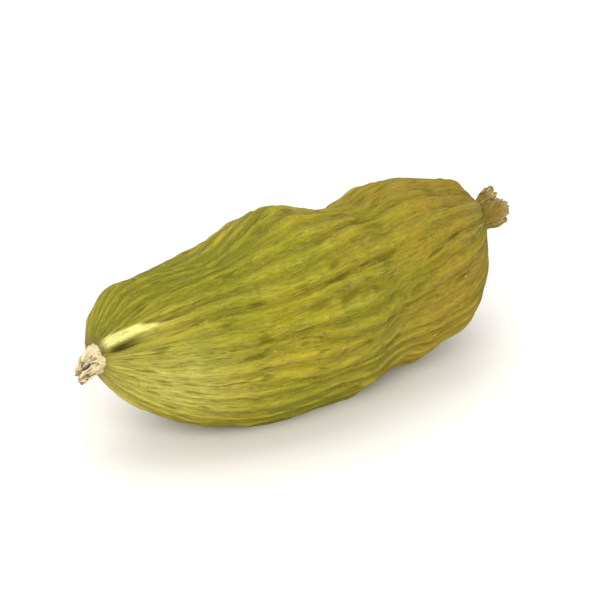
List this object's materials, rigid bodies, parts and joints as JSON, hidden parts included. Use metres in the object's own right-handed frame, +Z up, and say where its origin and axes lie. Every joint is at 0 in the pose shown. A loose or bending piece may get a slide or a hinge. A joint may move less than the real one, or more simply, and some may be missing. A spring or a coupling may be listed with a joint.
{
  "type": "green cardamom pod",
  "caption": "Dried green cardamom pod: a ribbed, three-cornered oval husk with a slit at the blossom end and a short hollow stem stub, lying on its side.",
  "frame": {"origin": "bottom centre of the bounding box, on the surface the pod lies on", "axes": "+X from the blossom end to the stem stub, +Z up, -Y the side the picture shows"},
  "size_m": [0.0172, 0.007, 0.0068],
  "materials": {
    "husk": "dry plant husk, satin, ribbed, yellowish green"
  },
  "bodies": {
    "root": {"cardamom_pod": "husk"}
  },
  "joints": []
}
